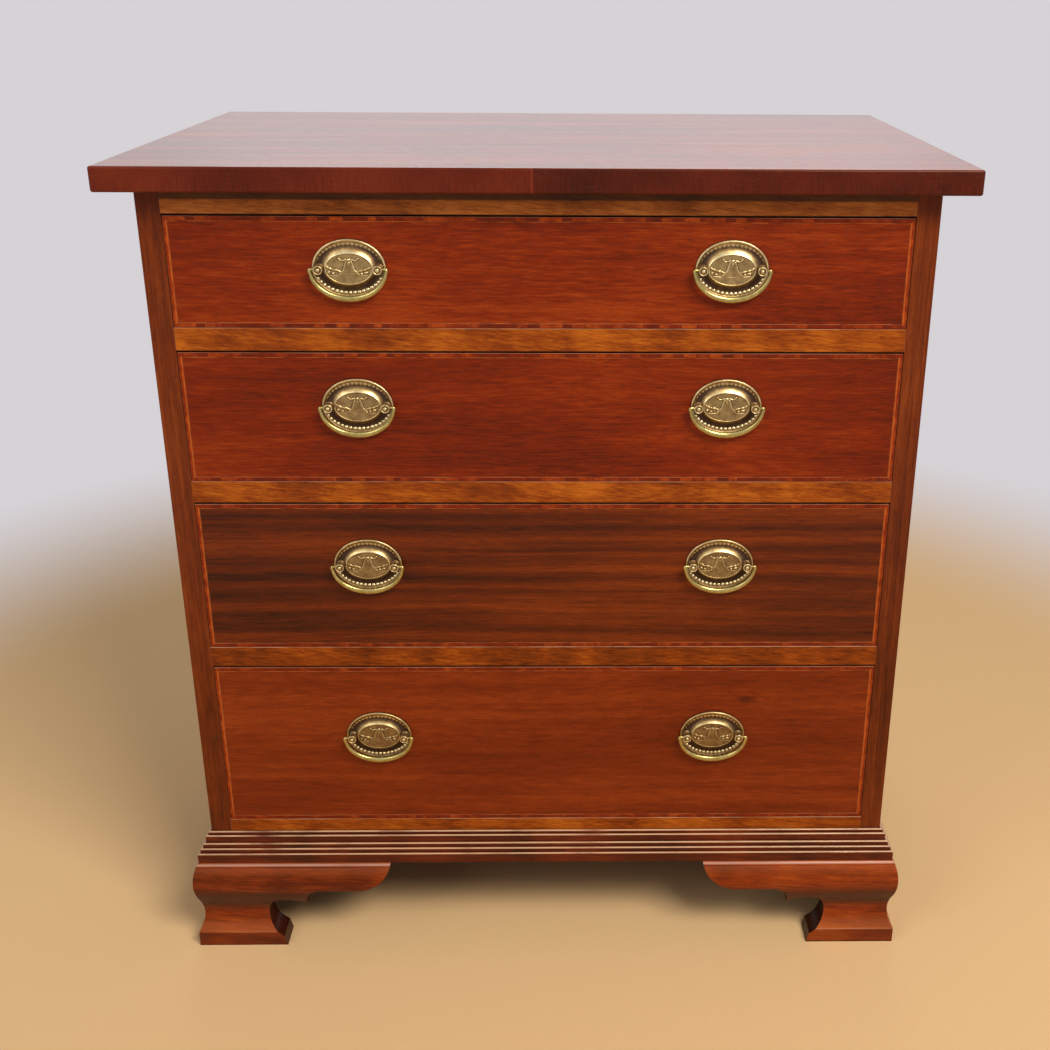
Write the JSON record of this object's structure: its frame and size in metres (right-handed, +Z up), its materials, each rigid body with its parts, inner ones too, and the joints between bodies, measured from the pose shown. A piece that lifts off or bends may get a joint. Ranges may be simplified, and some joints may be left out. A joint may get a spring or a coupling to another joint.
{
  "type": "bachelors chest",
  "caption": "Small mahogany chest of graduated drawers with oval brass bail pulls, an overhanging top, a stepped base moulding and ogee bracket feet.",
  "frame": {"origin": "on the floor under the middle of the top board", "axes": "+Z up; +Y from the drawers towards the back boards; +X to the right as seen from the front"},
  "size_m": [0.862, 0.535, 0.9324],
  "materials": {
    "top_mahogany": "french polished, glossy",
    "side_mahogany": "waxed and polished",
    "stile_mahogany": "waxed and polished",
    "rail_mahogany": "waxed and polished",
    "drawer_mahogany": "waxed and polished",
    "crossbanding": "waxed and polished",
    "base_mahogany": "waxed and polished",
    "oak_lining": "planed, unfinished",
    "back_pine": "sawn and stained, unfinished",
    "antique_brass": "aged, dark in the hollows and bright on the high spots"
  },
  "bodies": {
    "carcase": {"top_board": "top_mahogany", "side_panel_left": "side_mahogany", "side_panel_right": "side_mahogany", "front_stile_left": "stile_mahogany", "front_stile_right": "stile_mahogany", "top_rails": "rail_mahogany", "drawer_rail_1": "rail_mahogany", "drawer_rail_2": "rail_mahogany", "drawer_rail_3": "rail_mahogany", "bottom_rail": "rail_mahogany", "bottom_board": "back_pine", "dust_boards": "back_pine", "drawer_runners": "oak_lining", "drawer_stops": "oak_lining", "back_boards": "back_pine", "base_moulding": "base_mahogany", "foot_front_left": "base_mahogany", "foot_front_right": "base_mahogany", "foot_back_left": "base_mahogany", "foot_back_right": "base_mahogany"},
    "drawer_1": {"drawer_1_front": "drawer_mahogany", "drawer_1_banding": "crossbanding", "drawer_1_side_left": "oak_lining", "drawer_1_side_right": "oak_lining", "drawer_1_back": "oak_lining", "drawer_1_bottom": "oak_lining", "drawer_1_backplates": "antique_brass", "drawer_1_pull_bolts": "antique_brass"},
    "drawer_1_bail_left": {"drawer_1_bail_left": "antique_brass"},
    "drawer_1_bail_right": {"drawer_1_bail_right": "antique_brass"},
    "drawer_2": {"drawer_2_front": "drawer_mahogany", "drawer_2_banding": "crossbanding", "drawer_2_side_left": "oak_lining", "drawer_2_side_right": "oak_lining", "drawer_2_back": "oak_lining", "drawer_2_bottom": "oak_lining", "drawer_2_backplates": "antique_brass", "drawer_2_pull_bolts": "antique_brass"},
    "drawer_2_bail_left": {"drawer_2_bail_left": "antique_brass"},
    "drawer_2_bail_right": {"drawer_2_bail_right": "antique_brass"},
    "drawer_3": {"drawer_3_front": "drawer_mahogany", "drawer_3_banding": "crossbanding", "drawer_3_side_left": "oak_lining", "drawer_3_side_right": "oak_lining", "drawer_3_back": "oak_lining", "drawer_3_bottom": "oak_lining", "drawer_3_backplates": "antique_brass", "drawer_3_pull_bolts": "antique_brass"},
    "drawer_3_bail_left": {"drawer_3_bail_left": "antique_brass"},
    "drawer_3_bail_right": {"drawer_3_bail_right": "antique_brass"},
    "drawer_4": {"drawer_4_front": "drawer_mahogany", "drawer_4_banding": "crossbanding", "drawer_4_side_left": "oak_lining", "drawer_4_side_right": "oak_lining", "drawer_4_back": "oak_lining", "drawer_4_bottom": "oak_lining", "drawer_4_backplates": "antique_brass", "drawer_4_pull_bolts": "antique_brass"},
    "drawer_4_bail_left": {"drawer_4_bail_left": "antique_brass"},
    "drawer_4_bail_right": {"drawer_4_bail_right": "antique_brass"}
  },
  "joints": [
    {"name": "drawer_1_slide", "type": "slide", "parent": "carcase", "child": "drawer_1", "axis": [0, -1, 0], "range_m": [0, 0.33]},
    {"name": "drawer_1_bail_left_hinge", "type": "hinge", "parent": "drawer_1", "child": "drawer_1_bail_left", "pos_m": [-0.193, -0.2451, 0.8286], "axis": [-1, 0, 0], "range_deg": [0, 170]},
    {"name": "drawer_1_bail_right_hinge", "type": "hinge", "parent": "drawer_1", "child": "drawer_1_bail_right", "pos_m": [0.193, -0.2451, 0.8286], "axis": [-1, 0, 0], "range_deg": [0, 170]},
    {"name": "drawer_2_slide", "type": "slide", "parent": "carcase", "child": "drawer_2", "axis": [0, -1, 0], "range_m": [0, 0.33]},
    {"name": "drawer_2_bail_left_hinge", "type": "hinge", "parent": "drawer_2", "child": "drawer_2_bail_left", "pos_m": [-0.193, -0.2451, 0.6832], "axis": [-1, 0, 0], "range_deg": [0, 170]},
    {"name": "drawer_2_bail_right_hinge", "type": "hinge", "parent": "drawer_2", "child": "drawer_2_bail_right", "pos_m": [0.193, -0.2451, 0.6832], "axis": [-1, 0, 0], "range_deg": [0, 170]},
    {"name": "drawer_3_slide", "type": "slide", "parent": "carcase", "child": "drawer_3", "axis": [0, -1, 0], "range_m": [0, 0.33]},
    {"name": "drawer_3_bail_left_hinge", "type": "hinge", "parent": "drawer_3", "child": "drawer_3_bail_left", "pos_m": [-0.193, -0.2451, 0.5008], "axis": [-1, 0, 0], "range_deg": [0, 170]},
    {"name": "drawer_3_bail_right_hinge", "type": "hinge", "parent": "drawer_3", "child": "drawer_3_bail_right", "pos_m": [0.193, -0.2451, 0.5008], "axis": [-1, 0, 0], "range_deg": [0, 170]},
    {"name": "drawer_4_slide", "type": "slide", "parent": "carcase", "child": "drawer_4", "axis": [0, -1, 0], "range_m": [0, 0.33]},
    {"name": "drawer_4_bail_left_hinge", "type": "hinge", "parent": "drawer_4", "child": "drawer_4_bail_left", "pos_m": [-0.193, -0.2451, 0.2833], "axis": [-1, 0, 0], "range_deg": [0, 170]},
    {"name": "drawer_4_bail_right_hinge", "type": "hinge", "parent": "drawer_4", "child": "drawer_4_bail_right", "pos_m": [0.193, -0.2451, 0.2833], "axis": [-1, 0, 0], "range_deg": [0, 170]}
  ]
}
